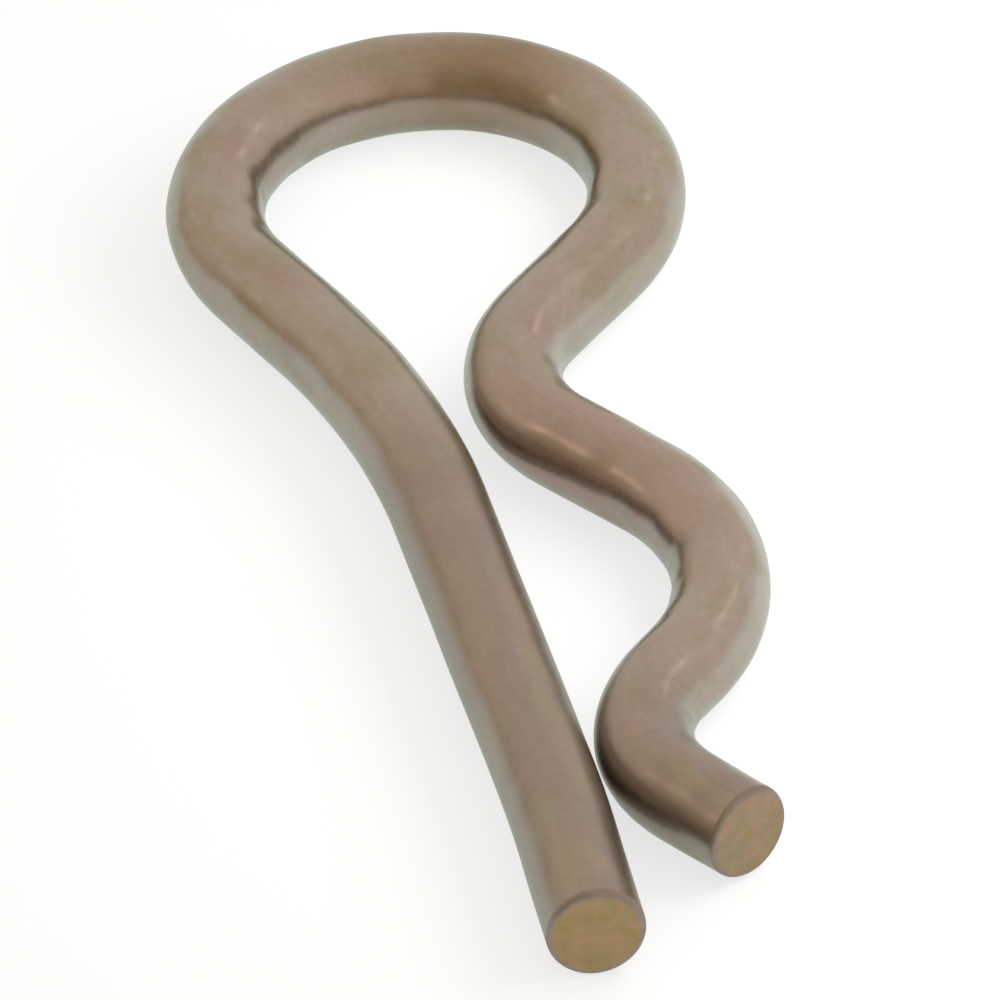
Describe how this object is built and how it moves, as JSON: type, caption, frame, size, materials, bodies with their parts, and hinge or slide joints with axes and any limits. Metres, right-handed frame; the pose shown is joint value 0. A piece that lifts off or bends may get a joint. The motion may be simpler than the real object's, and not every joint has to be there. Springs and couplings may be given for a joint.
{
  "type": "spring cotter pin",
  "caption": "Hairpin spring cotter of bent round wire: a straight leg for a shaft's cross hole, a wavy leg that snaps over the shaft, and a round loop to pull it by.",
  "frame": {"origin": "centre of the shaft seat, where the straight leg's axis crosses the axis of the shaft that the clip holds, at half the wire's thickness", "axes": "+X from the straight leg to the wavy leg, +Y along the straight leg to the loop, +Z along the shaft, up from the surface that the clip lies on"},
  "size_m": [0.0128, 0.0368, 0.0024],
  "materials": {
    "plated_spring_wire": "dull brownish grey plating over drawn spring steel, finely mottled, with olive yellow sheared ends"
  },
  "bodies": {
    "root": {"cotter_pin": "plated_spring_wire"}
  },
  "joints": []
}
